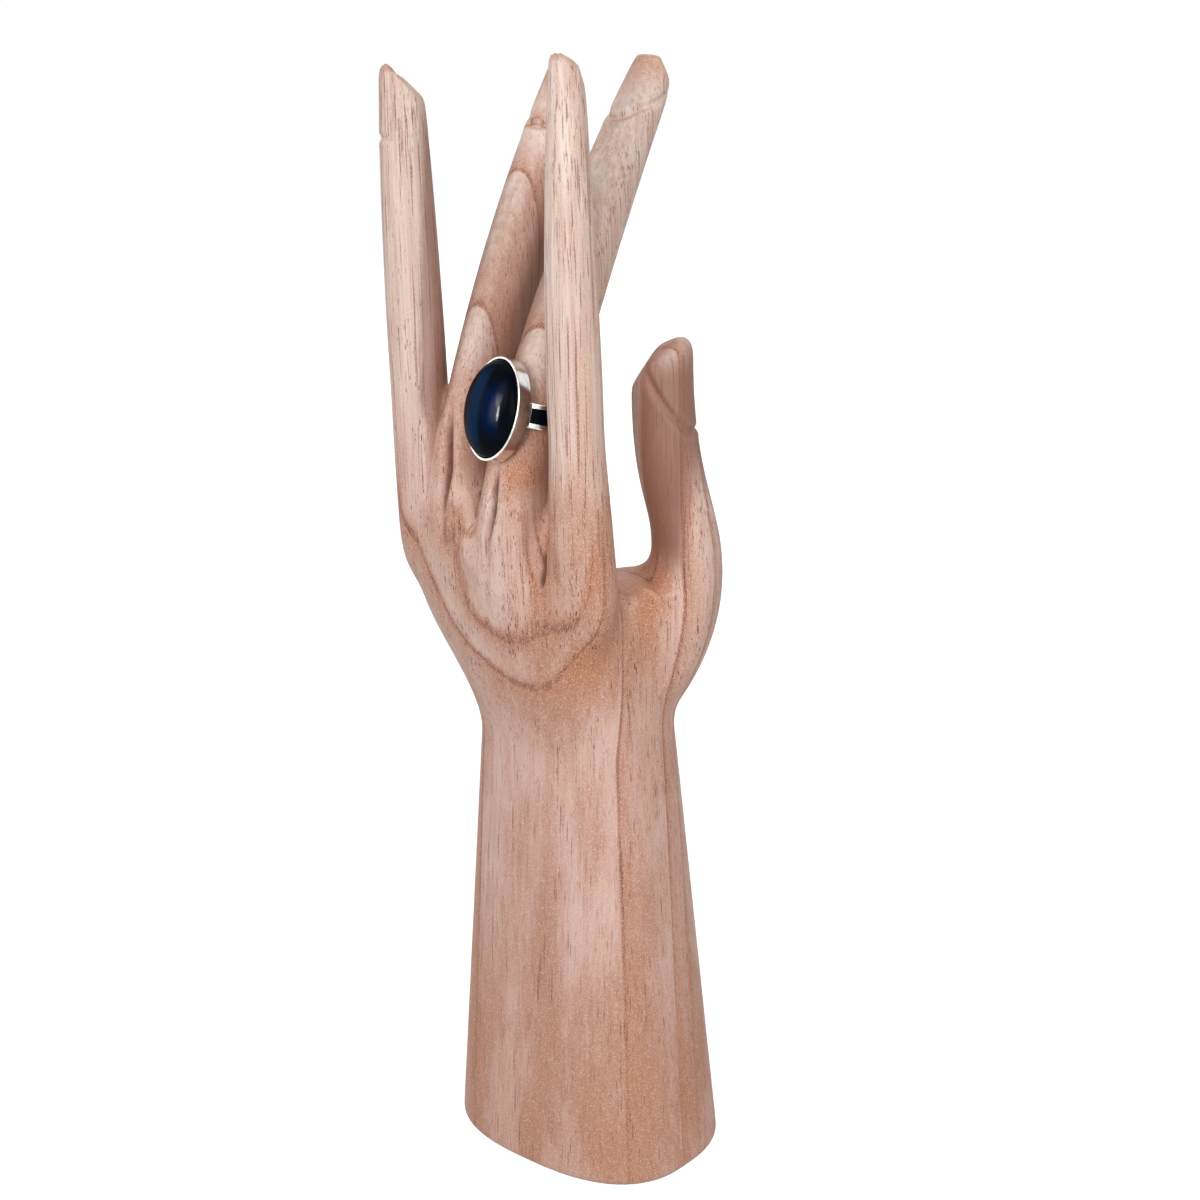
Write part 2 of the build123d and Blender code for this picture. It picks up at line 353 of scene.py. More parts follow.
def make_room():
    world = bpy.data.worlds.new("room")
    bpy.context.scene.world = world
    world.use_nodes = True
    tree = world.node_tree
    tree.nodes.clear()
    lit = add(tree, "ShaderNodeBackground", {"Color": ROOM_COLOUR, "Strength": ROOM_LEVEL})
    seen = add(tree, "ShaderNodeBackground", {"Color": WHITE, "Strength": 1.0})
    inputs = {0: shown_ray(tree), 1: lit.outputs[0], 2: seen.outputs[0]}
    both = add(tree, "ShaderNodeMixShader", inputs)
    add(tree, "ShaderNodeOutputWorld", {"Surface": both.outputs[0]})


def make_floor():
    mesh = bpy.data.meshes.new("floor")
    half = FLOOR_WIDTH / 2 * MM
    corners = [(-half, -half, 0), (half, -half, 0), (half, half, 0), (-half, half, 0)]
    mesh.from_pydata(corners, [], [(0, 1, 2, 3)])
    floor = bpy.data.objects.new("floor", mesh)
    bpy.context.collection.objects.link(floor)
    material = bpy.data.materials.new("floor_white")
    material.use_nodes = True
    tree = material.node_tree
    tree.nodes.clear()
    level = times(tree, shown_ray(tree), FLOOR_GLOW)
    glow = add(tree, "ShaderNodeEmission", {"Color": WHITE, "Strength": level})
    matte = add(tree, "ShaderNodeBsdfDiffuse", {"Color": FLOOR_COLOUR})
    both = add(tree, "ShaderNodeAddShader", {0: glow.outputs[0], 1: matte.outputs[0]})
    add(tree, "ShaderNodeOutputMaterial", {"Surface": both.outputs[0]})
    mesh.materials.append(material)


# Wood tones, as seen on screen
FINGER_PALE = linear(243, 230, 222)
FINGER_TAN = linear(213, 184, 170)
FOREARM_PALE = linear(224, 192, 183)
FOREARM_TAN = linear(194, 150, 132)
WOOD_ORANGE = linear(183, 125, 93)
WOOD_LINE = linear(124, 62, 46)
WOOD_PORE = linear(106, 52, 38)
# painted shade in hollows and carved cuts
WOOD_HOLLOW_SHADE = linear(96, 46, 30)
# painted shade where close wood closes in, round the finger roots and in creases
WOOD_SHADE = linear(138, 90, 70)
# painted shade on the thumb's inner side, which faces the palm
THUMB_SHADE = linear(134, 91, 75)
WOOD_SCUFF = linear(238, 222, 213)


@dataclass
class Grain:
    """A noise: its cells per millimetre across and along the wood, and how fine and rough it is."""
    across: float
    along: float
    detail: float
    roughness: float = 0.5
    distortion: float = 0.0


@dataclass
class Pore:
    """Vessels: their cells per millimetre across and along the wood, and their size in a cell."""
    across: float
    along: float
    size: float


@dataclass
class GrowthRing:
    """A growth ring's outer edge: its depth in the block, its strength and its fade inward."""
    level: float
    strength: float
    fade: float


# Grain, which bends with the fingers that lean
BROAD_GRAIN = Grain(0.11, 0.011, 3.0, 0.55)
PATCH_GRAIN = Grain(0.06, 0.022, 4.0, 0.6)
FIBRE_GRAIN = Grain(0.8, 0.014, 4.0, 0.65)
HAIR_GRAIN = Grain(2.2, 0.02, 2.0, 0.6)
GRIT_GRAIN = Grain(3.2, 2.0, 1.0)
BEND_HEIGHT = 165
BEND_LEAN = (0.061, -0.04, 0.0)

# Ground tone: paler up the fingers, with ruddy zones; a zone is a rise and a fall along an axis
PALING_HEIGHTS = (145, 243)
PALING_LEAN = 0.8
FIBRE_PALING = (0.0, 1.0, 0.25, 0.5)
MOTTLE_PATCH = 0.7
MOTTLE_BROAD = 0.3
TAN_TONES = (0.42, 0.6)
PALM_HEIGHTS = (126, 152, 182, 222)
PALM_SIDES = (-4, 10, 22, 32)
INNER_HEIGHTS = (190, 200, 214, 236)
INNER_SIDES = (-34, -29, 1, 6)
FOOT_HEIGHTS = (10, 90, 0.75, 0.2)
RUDDY_PATCHES = (0.42, 0.56, 0.6, 1.0)
# Painted light: the palm's little-finger side is made paler
LIT_EDGE_HEIGHTS = (132, 150, 170, 188)
LIT_EDGE_SIDES = (-10, -22)
LIT_EDGE_SHARE = 0.45
# Painted shade: faces turned sideways are tinted darker orange
SIDE_SHADE_POWER = 2.0
SIDE_SHADE_SHARE = 0.12
END_GRAIN_POWER = 4.0
END_GRAIN_SHARE = 0.6
TIP_HEIGHTS = (288, 297)
TIP_FACING = (0.12, 0.45)
TIP_SHARE = 0.65

# Growth rings
RING_NORMAL = (0.0957, -0.9939, 0.055)
RING_WAVE = 0.7
RING_EDGE = 0.2
RING_LINE = 0.7
RING_SOFT = 0.3
RING_SPAN = 50
RING_ORANGE = 0.7
WAVE_GRAIN = Grain(0.03, 0.012, 3.0, 0.55)
WORN_GRAIN = Grain(0.5, 0.06, 3.0)
WORN_RINGS = (0.3, 0.55, 0.6, 1.0)
FAINT_RING = 1.9
FAINT_SHARE = 0.14
KNUCKLE_RING_LEVEL = 31
KNUCKLE_RING_HEIGHTS = (184, 198)
PLAIN_TIP_HEIGHTS = (238, 250)
PLAIN_TIP_SIDES = (-19, -15)
LINE_SHADES = (0.38, 0.6, 0.0, 0.95)
LINE_DASHES = (0.0, 1.0, 0.55, 1.0)
LINE_HEIGHTS = (40, 120, 0.35, 1.0)
GROWTH_RINGS = (
    GrowthRing(1.0, 0.8, 2.0),
    GrowthRing(8.0, 1.0, 5.5),
    GrowthRing(23.5, 1.0, 7.0),
    GrowthRing(34.6, 1.0, 6.0),
    GrowthRing(37.4, 0.9, 1.8),
)

# Streaks and vessels
STREAK_HAIRS = (0.58, 0.63, 0.0, 1.0)
STREAK_PALING = (0.0, 0.8, 0.28, 0.65)
UPRIGHT_FACING = (0.002, 0.04, 1.0, 0.2)
SPARSE_GRAIN = Grain(0.22, 0.03, 3.0, 0.6)
PORE_CLUSTERS = (0.35, 0.65, 0.25, 0.85)
PORE_EDGE = (0.7, 1.1, 1.0, 0.0)
PORE_LEAST = 0.001
LONG_PORES = Pore(1.5, 0.02, 0.28)
LONG_PORE_SHARE = 0.6
SHORT_PORES = Pore(1.7, 0.3, 0.26)
SHORT_PORE_PALING = (0.3, 0.9, 1.0, 0.4)
SHORT_PORE_HEIGHTS = (100, 150, 0.2, 1.0)
PORE_SHARE = 0.9
GRIT_SPOTS = (0.5, 0.72, 0.0, 0.4)

# Painted shade on the thumb, near close wood, in creases, hollows and cuts, paler ridges, and the wood's
# surface
# Painted shade on the thumb's inner side
THUMB_HEIGHTS = (168, 180, 222, 238)
THUMB_SIDES = (14, 17, 25.5, 29.5)
THUMB_DEPTHS = (-8, -3)
THUMB_SHADE_SHARE = 0.85
# Painted shade where close wood closes in, only above the knuckles
SHELTER_HEIGHTS = (186, 212, 0.1, 1.0)
SHELTER_SHADE_SHARE = 0.55
CREASE_SHADE_SHARE = 0.4
# Painted shade in hollows and cuts
HOLLOW_SHADE_SHARE = 0.7
CUT_SHADE_SHARE = 0.9
# Paler ridges: rubbed wear, and in part a painted highlight on crisp edges
RIDGE_SHARE = 0.3
HAIR_RELIEF = 0.6
WOOD_BUMP = 0.4
WOOD_BUMP_DEPTH = 0.2
WOOD_ROUGHNESS = (0.3, 0.7, 0.56, 0.7)
WOOD_SPECULAR = 0.3


def ring_shade(tree, level):
    """Growth rings: each darkens towards its outer edge and ends in a sharp line."""
    ramp = add(tree, "ShaderNodeValToRGB", {"Fac": remap(tree, level, -RING_SPAN, RING_SPAN)})
    stops = ramp.color_ramp.elements
    stops[1].color = (0, 0, 0, 1)
    for ring in GROWTH_RINGS:
        for place, tone in (
            (ring.level - ring.fade, 0), (ring.level - RING_LINE, RING_SOFT * ring.strength),
            (ring.level, ring.strength), (ring.level + RING_EDGE, 0),
        ):
            stop = stops.new((place + RING_SPAN) / (2 * RING_SPAN))
            stop.color = (tone, tone, tone, 1)
    return ramp.outputs[0]


def vessels(tree, place, pore, cluster):
    """Dark vessels that run up the grain, in clusters and of many sizes."""
    place = stretch(tree, place, pore.across, pore.along)
    inputs = {"Vector": place, "Scale": 1.0, "Randomness": 1.0}
    cells = add(tree, "ShaderNodeTexVoronoi", inputs)
    chance = add(tree, "ShaderNodeSeparateColor", {0: cells.outputs["Color"]}).outputs[0]
    width = times(tree, calc(tree, "SUBTRACT", cluster, chance), 2 * pore.size)
    dash = calc(tree, "DIVIDE", cells.outputs["Distance"], calc(tree, "MAXIMUM", width, PORE_LEAST))
    return remap(tree, dash, *PORE_EDGE, smooth=True)


class Wood:
    """The values that the wood's tones are made from, and each layer of tone."""

    def __init__(self, tree, place):
        self.tree = tree
        self.place = place
        self.side, self.depth, self.height = split(tree, place)
        above = calc(tree, "MAXIMUM", calc(tree, "SUBTRACT", self.height, BEND_HEIGHT), 0.0)
        self.bent = vector_math(tree, "ADD", place, scaled(tree, BEND_LEAN, above))
        self.broad = noise(tree, self.bent, BROAD_GRAIN)
        self.patch = noise(tree, place, PATCH_GRAIN)
        self.fibre = noise(tree, self.bent, FIBRE_GRAIN)
        self.hair = noise(tree, self.bent, HAIR_GRAIN)
        facing = add(tree, "ShaderNodeNewGeometry").outputs["Normal"]
        across, _, self.up = split(tree, facing)
        self.side_shade = calc(tree, "POWER", calc(tree, "ABSOLUTE", across), SIDE_SHADE_POWER)
        self.end_grain = calc(tree, "POWER", calc(tree, "ABSOLUTE", self.up), END_GRAIN_POWER)
        self.upright = remap(tree, self.end_grain, *UPRIGHT_FACING)
        leaning = calc(tree, "MULTIPLY_ADD", self.side, PALING_LEAN, self.height)
        self.paling = remap(tree, leaning, *PALING_HEIGHTS, smooth=True)

    def zone(self, heights, sides):
        """1 in the middle of a zone of the hand, and 0 outside it."""
        return times(self.tree, hump(self.tree, self.height, heights), hump(self.tree, self.side, sides))

    def carved(self, name):
        """A tone that the carving holds at each of its points."""
        # A share stored at each point of the carving, for the painted shade and the paler ridges.
        return add(self.tree, "ShaderNodeAttribute", attribute_name=name).outputs["Fac"]

    def ground(self):
        """Pale and tan wood, with the ruddy zones and the end grain, painted light on the palm's
        little-finger side and painted shade on faces turned sideways.
        """
        tree = self.tree
        pale = blend(tree, self.paling, FOREARM_PALE, FINGER_PALE)
        tan = blend(tree, self.paling, FOREARM_TAN, FINGER_TAN)
        mottled = calc(
            tree, "MULTIPLY_ADD", self.patch, MOTTLE_PATCH, times(tree, self.broad, MOTTLE_BROAD))
        plain = mix(tree, self.paling, mottled, self.broad)
        tone = mix(tree, remap(tree, self.paling, *FIBRE_PALING), plain, self.fibre)
        colour = blend(tree, remap(tree, tone, *TAN_TONES), pale, tan)
        ruddy = remap(tree, self.height, *FOOT_HEIGHTS, smooth=True)
        for zone in (self.zone(PALM_HEIGHTS, PALM_SIDES), self.zone(INNER_HEIGHTS, INNER_SIDES)):
            ruddy = calc(tree, "MAXIMUM", zone, ruddy)
        # painted light on the palm's little-finger side
        edge = times(tree, hump(tree, self.height, LIT_EDGE_HEIGHTS), remap(tree, self.side, *LIT_EDGE_SIDES))
        tip = times(tree, remap(tree, self.height, *TIP_HEIGHTS), remap(tree, self.up, *TIP_FACING))
        colour = tint(tree, colour, FINGER_PALE, edge, LIT_EDGE_SHARE)
        patchy = remap(tree, self.patch, *RUDDY_PATCHES, smooth=True)
        colour = tint(tree, colour, WOOD_ORANGE, ruddy, patchy)
        # painted shade on faces turned sideways
        colour = tint(tree, colour, WOOD_ORANGE, self.side_shade, SIDE_SHADE_SHARE)
        colour = tint(tree, colour, WOOD_ORANGE, self.end_grain, END_GRAIN_SHARE)
        return tint(tree, colour, WOOD_ORANGE, tip, TIP_SHARE)

    def growth(self, colour):
        """Growth rings, broken up by the streaks, and the streaks themselves."""
        tree = self.tree
        wave = noise(tree, self.place, WAVE_GRAIN)
        lift = calc(tree, "MULTIPLY_ADD", wave, 2 * RING_WAVE, -RING_WAVE)
        level = calc(tree, "ADD", vector_math(tree, "DOT_PRODUCT", self.place, RING_NORMAL), lift)
        faint = calc(tree, "FRACT", calc(tree, "DIVIDE", level, FAINT_RING))
        colour = tint(tree, colour, WOOD_ORANGE, faint, FAINT_SHARE)
        outer = calc(tree, "GREATER_THAN", level, KNUCKLE_RING_LEVEL)
        knuckle = times(tree, outer, remap(tree, self.height, *KNUCKLE_RING_HEIGHTS))
        plain = times(
            tree, remap(tree, self.height, *PLAIN_TIP_HEIGHTS), remap(tree, self.side, *PLAIN_TIP_SIDES))
        kept = remap(tree, noise(tree, self.place, WORN_GRAIN), *WORN_RINGS)
        kept = calc(tree, "SUBTRACT", calc(tree, "SUBTRACT", kept, knuckle), plain)
        shade = times(tree, ring_shade(tree, level), calc(tree, "MAXIMUM", kept, 0.0))
        colour = tint(tree, colour, WOOD_ORANGE, remap(tree, shade, 0.0, RING_SOFT, 0.0, RING_ORANGE))
        streak = remap(tree, self.hair, *STREAK_HAIRS, smooth=True)
        colour = tint(
            tree, colour, WOOD_LINE, remap(tree, shade, *LINE_SHADES, smooth=True),
            remap(tree, streak, *LINE_DASHES), remap(tree, self.height, *LINE_HEIGHTS))
        share = remap(tree, self.paling, *STREAK_PALING)
        return tint(tree, colour, WOOD_LINE, streak, self.upright, share)

    def pits(self):
        """Long vessels on upright faces, and short ones on the palm."""
        tree = self.tree
        cluster = remap(tree, noise(tree, self.place, SPARSE_GRAIN), *PORE_CLUSTERS)
        upright = times(tree, self.upright, LONG_PORE_SHARE)
        long_pores = times(tree, vessels(tree, self.bent, LONG_PORES, cluster), upright)
        short_pores = times(
            tree, vessels(tree, self.bent, SHORT_PORES, cluster),
            remap(tree, self.paling, *SHORT_PORE_PALING), remap(tree, self.height, *SHORT_PORE_HEIGHTS))
        return calc(tree, "MAXIMUM", long_pores, short_pores)

    def shade_and_rubbing(self, colour):
        """Painted shade on the thumb's inner side, between the digits and in hollows and cuts, and paler
        ridges: rubbed wear, in part a painted highlight.
        """
        tree = self.tree
        thumb = self.zone(THUMB_HEIGHTS, THUMB_SIDES)
        back = remap(tree, self.depth, *THUMB_DEPTHS, smooth=True)
        root = remap(tree, self.height, *SHELTER_HEIGHTS, smooth=True)
        # painted shade on the thumb's inner side
        colour = tint(tree, colour, THUMB_SHADE, thumb, back, THUMB_SHADE_SHARE)
        # painted shade near close wood and in creases
        colour = tint(tree, colour, WOOD_SHADE, self.carved("shelter"), root, SHELTER_SHADE_SHARE)
        colour = tint(tree, colour, WOOD_SHADE, self.carved("crease"), root, CREASE_SHADE_SHARE)
        # painted shade in hollows and carved cuts
        colour = tint(tree, colour, WOOD_HOLLOW_SHADE, self.carved("hollow"), HOLLOW_SHADE_SHARE)
        colour = tint(tree, colour, WOOD_HOLLOW_SHADE, self.carved("cut"), CUT_SHADE_SHARE)
        # paler ridges: rubbed wear, in part a painted highlight
        return tint(tree, colour, WOOD_SCUFF, self.carved("ridge"), RIDGE_SHARE)


def wood_material():
    material, tree, shader, place = new_material("carved_wood")
    wood = Wood(tree, place)
    pits = wood.pits()
    colour = wood.growth(wood.ground())
    colour = tint(tree, colour, WOOD_PORE, pits, PORE_SHARE)
    colour = tint(tree, colour, WOOD_SCUFF, remap(tree, noise(tree, place, GRIT_GRAIN), *GRIT_SPOTS))
    colour = wood.shade_and_rubbing(colour)
    relief = calc(tree, "MULTIPLY_ADD", wood.hair, HAIR_RELIEF, times(tree, pits, -1.0))
    tree.links.new(colour, shader.inputs["Base Color"])
    tree.links.new(bumped(tree, WOOD_BUMP, WOOD_BUMP_DEPTH, relief), shader.inputs["Normal"])
    tree.links.new(remap(tree, wood.fibre, *WOOD_ROUGHNESS), shader.inputs["Roughness"])
    shader.inputs["Specular IOR Level"].default_value = WOOD_SPECULAR
    return material


# Silver
SILVER_PALE = linear(240, 238, 234)
SILVER_GREY = linear(206, 203, 200)
SILVER_CLOUDS = (0.35, 0.7)
SILVER_ROUGHNESS = (0.4, 0.75, 0.1, 0.26)
SILVER_BUMP = 0.08
SILVER_BUMP_DEPTH = 0.1
SCRATCH_GRAIN = Grain(0.6, 14.0, 3.0, 0.6)
CLOUD_GRAIN = Grain(0.35, 0.35, 3.0)


def silver_material():
    material, tree, shader, place = new_material("polished_silver")
    scratch = noise(tree, place, SCRATCH_GRAIN)
    cloud = remap(tree, noise(tree, place, CLOUD_GRAIN), *SILVER_CLOUDS)
    tree.links.new(blend(tree, cloud, SILVER_PALE, SILVER_GREY), shader.inputs["Base Color"])
    tree.links.new(remap(tree, scratch, *SILVER_ROUGHNESS), shader.inputs["Roughness"])
    tree.links.new(bumped(tree, SILVER_BUMP, SILVER_BUMP_DEPTH, scratch), shader.inputs["Normal"])
    shader.inputs["Metallic"].default_value = 1.0
    return material


# Stone: places across it from its middle, and its reach along it; a painted blue sheen and a painted
# teal reflection lie over the black
STONE_BLACK = linear(2, 5, 13)
# painted blue sheen round the highlight, and a painted teal reflection on one side
STONE_BLUE_SHEEN = linear(0, 22, 60)
STONE_TEAL_REFLECTION = linear(4, 34, 66)
STONE_GRAIN = Grain(0.16, 0.1, 4.0, 0.55, 0.6)
STONE_WAVE = 0.8
# Zones of the painted blue sheen and the painted teal reflection
SHEEN_SIDES = (1.5, 5.5, 6.8, 8.0)
SHEEN_REACH = (1.5, 9.0, 1.0, 0.0)
REFLECTION_BAND_SIDES = (-3.0, -0.4, 1.6, 3.2)
REFLECTION_BAND_REACH = (7.0, 12.0, 1.0, 0.0)
BRIGHT_SIDES = (4.8, 6.6, 7.2, 7.9)
BRIGHT_REACH = (1.0, 5.0, 1.0, 0.0)
STONE_ROUGHNESS = 0.3
STONE_SPECULAR = 0.02
STONE_COAT = (0.0, 1.0, 0.03, 0.9)
STONE_COAT_ROUGHNESS = 0.12


def stone_axes():
    """The middle of the stone in millimetres, and the directions across it and along it."""
    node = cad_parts["cabochon"]
    points = np.array([vertex.co for vertex in node.data.vertices]) / MM
    middle = points.mean(0)
    _, _, directions = np.linalg.svd(points - middle, full_matrices=False)
    along, across = directions[:2]
    return middle, across * np.sign(across @ np.array(view_right)), along * np.sign(along[2])


def stone_material():
    material, tree, shader, place = new_material("black_stone")
    middle, across, along = stone_axes()
    offset = vector_math(tree, "SUBTRACT", place, middle)
    side = vector_math(tree, "DOT_PRODUCT", offset, across)
    side = calc(tree, "MULTIPLY_ADD", noise(tree, place, STONE_GRAIN), STONE_WAVE, side)
    reach = calc(tree, "ABSOLUTE", vector_math(tree, "DOT_PRODUCT", offset, along))
    zones = ((SHEEN_SIDES, SHEEN_REACH), (REFLECTION_BAND_SIDES, REFLECTION_BAND_REACH), (BRIGHT_SIDES, BRIGHT_REACH))
    glow, band, bright = [
        times(tree, hump(tree, side, sides), remap(tree, reach, *far, smooth=True))
        for sides, far in zones]
    # painted blue sheen round the highlight and a painted teal reflection on one side
    colour = blend(tree, glow, STONE_BLACK, STONE_BLUE_SHEEN)
    colour = blend(tree, band, colour, STONE_TEAL_REFLECTION)
    tree.links.new(colour, shader.inputs["Base Color"])
    tree.links.new(remap(tree, bright, *STONE_COAT), shader.inputs["Coat Weight"])
    shader.inputs["Roughness"].default_value = STONE_ROUGHNESS
    shader.inputs["Specular IOR Level"].default_value = STONE_SPECULAR
    shader.inputs["Coat Roughness"].default_value = STONE_COAT_ROUGHNESS
    return material


# Hand carving
class Clay:
    """A mesh's points in millimetres, and the moves that carve it."""

    def __init__(self, mesh):
        self.points = np.empty(len(mesh.vertices) * 3)
        mesh.vertices.foreach_get("co", self.points)
        self.points = self.points.reshape(-1, 3) / MM
        self.edges = np.empty(len(mesh.edges) * 2, dtype=np.int64)
        mesh.edges.foreach_get("vertices", self.edges)
        self.edges = self.edges.reshape(-1, 2)
        self.quads = np.array([list(face.vertices) for face in mesh.polygons])
        self.valence = np.bincount(self.edges.ravel(), minlength=len(self.points))

    def normals(self):
        corners = self.points[self.quads]
        faces = np.cross(corners[:, 2] - corners[:, 0], corners[:, 3] - corners[:, 1])
        total = np.zeros_like(self.points)
        for corner in range(4):
            for axis in range(3):
                total[:, axis] += np.bincount(
                    self.quads[:, corner], faces[:, axis], minlength=len(self.points))
        return total / np.maximum(np.linalg.norm(total, axis=1, keepdims=True), NORMAL_LEAST)

    def around(self, values):
        """The mean of each point's neighbours."""
        total = np.zeros_like(values)
        for near, far in (self.edges.T, self.edges.T[::-1]):
            for axis in range(values.shape[1]):
                total[:, axis] += np.bincount(near, values[far, axis], minlength=len(values))
        return total / self.valence[:, None]

    def relax(self, weights, rounds, wear=None, refresh=10):
        """Draws points to their neighbours; wear is the share of that kept on ridges, 1 if not given."""
        moved = weights > MOVED_LEAST
        order = np.cumsum(moved) - 1
        pairs = np.vstack([self.edges, self.edges[:, ::-1]])
        near, far = pairs[moved[pairs[:, 0]]].T
        near = order[near]
        valence = self.valence[moved][:, None]
        share = weights[moved][:, None]
        wear = 1.0 if wear is None else wear[moved][:, None]
        for turn in range(rounds):
            if turn % refresh == 0:
                normals = self.normals()[moved]
            here = self.points[moved]
            total = np.stack([np.bincount(near, self.points[far, axis]) for axis in range(3)], 1)
            pull = total / valence - here
            rise = (pull * normals).sum(1, keepdims=True)
            kept = np.where(rise > 0, rise, wear * rise)
            slide = SLIDE_SHARE * (pull - rise * normals)
            self.points[moved] = here + share * (kept * normals + slide)

    def raise_by(self, heights):
        self.points += self.normals() * heights[:, None]


def smaller(first, second, rounding):
    """The smaller of two distances, with the corner between them rounded."""
    share = np.clip(0.5 + 0.5 * (second - first) / rounding, 0, 1)
    return second + (first - second) * share - rounding * share * (1 - share)


def carve_nail(clay, nail):
    """Cuts a nail's outline, which opens towards the tip, and lifts the fold round it."""
    axis = np.array(heading(nail.lean_azimuth, 90 - nail.lean))
    face = np.array(heading(nail.face_azimuth, 0))
    face -= axis * (face @ axis)
    face /= np.linalg.norm(face)
    offset = clay.points - np.array(nail.tip)
    out = offset @ face
    side = offset @ np.cross(axis, face)
    radius = np.hypot(out, side)
    turn = np.degrees(np.abs(np.arctan2(side, out)))
    rise = offset @ axis + nail.length
    per_degree = math.radians(1) * radius
    flank = (nail.half_turn + nail.opening * rise - turn) * per_degree
    flank /= np.hypot(1, nail.opening * per_degree)
    inside = smaller(rise, flank, NAIL_CORNER)
    near = (radius < NAIL_REACH) & (np.abs(rise - nail.length / 2) < nail.length)
    near = near * ease(*NAIL_WRAP, turn)
    cut = np.exp(-(inside / NAIL_CUT) ** 2)
    fold = np.exp(-((inside + 2 * NAIL_CUT) / NAIL_CUT) ** 2)
    clay.raise_by(near * nail.depth * (NAIL_FOLD * fold - cut))


def carve_stroke(clay, tree, stroke):
    """Raises or cuts along the stroke, fading at both ends; returns how far each point is cut."""
    places = [np.array(tree.ray_cast(view_place, photo_ray(pixel))[0]) for pixel in stroke.pixels]
    shape = np.zeros(len(clay.points))
    count = len(places) - 1
    for index, (start, end) in enumerate(zip(places, places[1:])):
        run = end - start
        share = np.clip((clay.points - start) @ run / (run @ run), 0, 1)
        away = np.linalg.norm(clay.points - start - share[:, None] * run, axis=1)
        whole = (index + share) / count
        fade = ease(*STROKE_START, whole) * ease(*STROKE_END, whole)
        shape = np.maximum(shape, fade * np.exp(-(away / stroke.width) ** 2))
    clay.raise_by(stroke.height * shape)
    return shape * min(max(-stroke.height, 0), 1)


def cut_flat(clay, place, outward, reach):
    """Pares off what stands beyond a plane, near a place on it."""
    offset = clay.points - place
    beyond = np.maximum(offset @ outward, 0) * (np.linalg.norm(offset, axis=1) < reach)
    clay.points -= beyond[:, None] * outward


def solid_cells(clay):
    """The lowest corner of a grid round the hand, and 1 in each cell that holds wood."""
    tree = BVHTree.FromPolygons(clay.points.tolist(), clay.quads.tolist())
    margin = SHELTER_CELL * WIDE_SHELTER.spread * SHELTER_BLURS + WIDE_SHELTER.out
    low = clay.points.min(0) - margin
    counts = np.ceil((clay.points.max(0) + margin - low) / SHELTER_CELL).astype(int)
    solid = np.zeros(counts)
    up = Vector((0, 0, 1))
    for column in np.ndindex(*counts[:2]):
        start = Vector((*(low[:2] + (np.array(column) + 0.5) * SHELTER_CELL), low[2]))
        hit, outward, _, _ = tree.ray_cast(start, up)
        while hit is not None:
            level = int((hit.z - low[2]) / SHELTER_CELL)
            solid[column][level:] = 1.0 if outward.z < 0 else 0.0
            hit, outward, _, _ = tree.ray_cast(hit + up * RAY_STEP, up)
    return low, solid


def sheltered(clay, low, solid, reach):
    """How far wood close by closes in over each point, from 0 in the open to 1 in a crease: the share of
    painted shade there.
    """
    shifts = range(-reach.spread, reach.spread + 1)
    for axis in (0, 1, 2) * SHELTER_BLURS:
        solid = sum(np.roll(solid, shift, axis) for shift in shifts) / len(shifts)
    probe = clay.points + clay.normals() * reach.out
    cells = tuple(((probe - low) / SHELTER_CELL).astype(int).T)
    return ease(reach.low, reach.high, solid[cells])


def hand_block():
    """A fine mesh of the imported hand, with a web between forefinger and middle finger."""
    block = bpy.data.objects.new("hand_block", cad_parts["carved_hand"].data.copy())
    bpy.context.collection.objects.link(block)
    shell = bmesh.new()
    shell.from_mesh(block.data)
    oval = Matrix.Diagonal((*[reach * MM for reach in WEB_SIZE], 1))
    place = Matrix.Translation(Vector(WEB_PLACE) * MM) @ oval
    bmesh.ops.create_icosphere(shell, subdivisions=WEB_SUBDIVISIONS, radius=1, matrix=place)
    shell.to_mesh(block.data)
    shell.free()
    remesh = block.modifiers.new("voxels", "REMESH")
    remesh.mode = "VOXEL"
    remesh.voxel_size = VOXEL * MM
    depsgraph = bpy.context.evaluated_depsgraph_get()
    mesh = bpy.data.meshes.new_from_object(block.evaluated_get(depsgraph))
    bpy.data.objects.remove(block)
    return mesh


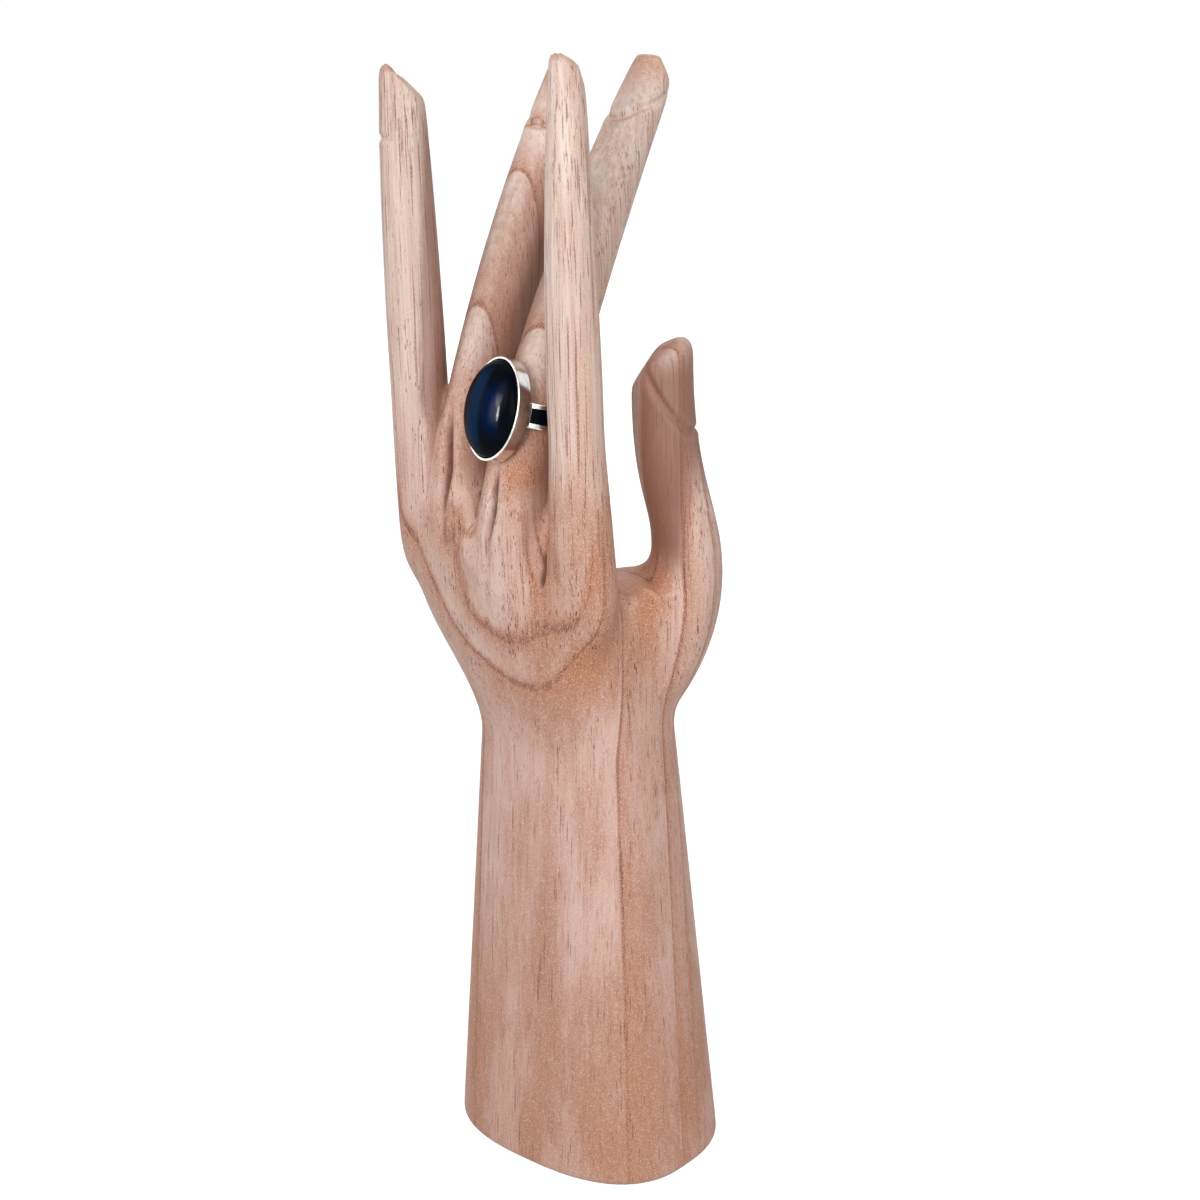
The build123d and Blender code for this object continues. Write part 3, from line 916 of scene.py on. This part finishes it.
def smooth_hand(clay):
    """Blends the finger roots into the palm, slopes the little fingertip and rounds the tips."""
    across, height = clay.points[:, 0], clay.points[:, 2]
    facing = clay.normals()
    shelf = ease(*SHELF_FACING, facing[:, 2]) * ease(*SHELF_SIDE, across)
    palm = ease(*PALM_FOOT, height) * ease(*PALM_HEAD, height) * (1 - shelf)
    roots = ease(*ROOT_FOOT, height) * ease(*ROOT_HEAD, height)
    roots *= ease(*ROOT_FACING, facing @ np.array(heading(ROOT_AZIMUTH, 0)))
    clay.relax(palm, PALM_ROUNDS, PALM_WEAR + ROOT_WEAR * roots)
    slope = np.array(heading(LITTLE_CUT_AZIMUTH, LITTLE_CUT_SLOPE))
    drop = np.array(heading(0, 90)) * LITTLE_CUT_DROP
    cut_flat(clay, np.array(NAILS["little_finger"].tip) - drop, slope, TIP_REACH)
    for nail in NAILS.values():
        away = np.linalg.norm(clay.points - np.array(nail.tip), axis=1)
        clay.relax(ease(*TIP_ROUNDING, away), nail.tip_rounds)
    clay.relax(SKIN_SHARE * ease(*SKIN_FOOT, height), SKIN_ROUNDS)


def carve_hand(clay):
    """Carves the strokes and the nails; returns the shares of painted shade and paler ridges at each
    point.
    """
    tree = BVHTree.FromPolygons(clay.points.tolist(), clay.quads.tolist())
    cut = np.max([carve_stroke(clay, tree, stroke) for stroke in STROKES.values()], axis=0)
    for nail in NAILS.values():
        carve_nail(clay, nail)
    curve = ((clay.around(clay.points) - clay.points) * clay.normals()).sum(1, keepdims=True)
    for _ in range(CURVE_ROUNDS):
        curve = clay.around(curve)
    clay.points[:, 2] = np.maximum(clay.points[:, 2], 0)
    # shares of painted shade in hollows, creases, near close wood and in cuts, and of paler ridges
    cells = solid_cells(clay)
    return {
        "hollow": ease(*CURVE_SEEN, curve[:, 0]),
        "ridge": ease(*CURVE_SEEN, -curve[:, 0]),
        "crease": sheltered(clay, *cells, NEAR_SHELTER),
        "shelter": sheltered(clay, *cells, WIDE_SHELTER),
        "cut": ease(*CUT_SEEN, cut),
    }


def hand_carving():
    mesh = hand_block()
    clay = Clay(mesh)
    smooth_hand(clay)
    tones = carve_hand(clay)
    mesh.vertices.foreach_set("co", (clay.points * MM).ravel())
    for name, values in tones.items():
        attribute = mesh.attributes.new(name, "FLOAT", "POINT")
        attribute.data.foreach_set("value", values)
    mesh.materials.clear()
    mesh.materials.append(wood_material())
    mesh.shade_smooth()
    carving = bpy.data.objects.new("hand_carving", mesh)
    bpy.context.collection.objects.link(carving)
    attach(carving, "hand")
    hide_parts("carved_hand")


def dress_ring():
    silver = silver_material()
    stone = stone_material()
    finishes = {
        "ring_shank": silver, "bezel_base_plate": silver, "bezel_wall": silver, "cabochon": stone,
        "shoulder_inlay_index_side": stone, "shoulder_inlay_little_side": stone,
    }
    for name, material in finishes.items():
        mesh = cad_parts[name].data
        mesh.materials.clear()
        mesh.materials.append(material)


make_camera()
make_room()
make_floor()
for lamp_name, lamp_plan in LAMPS.items():
    make_lamp(lamp_name, lamp_plan)
hand_carving()
dress_ring()
bpy.context.scene.view_settings.view_transform = "Standard"

bpy.context.view_layer.update()
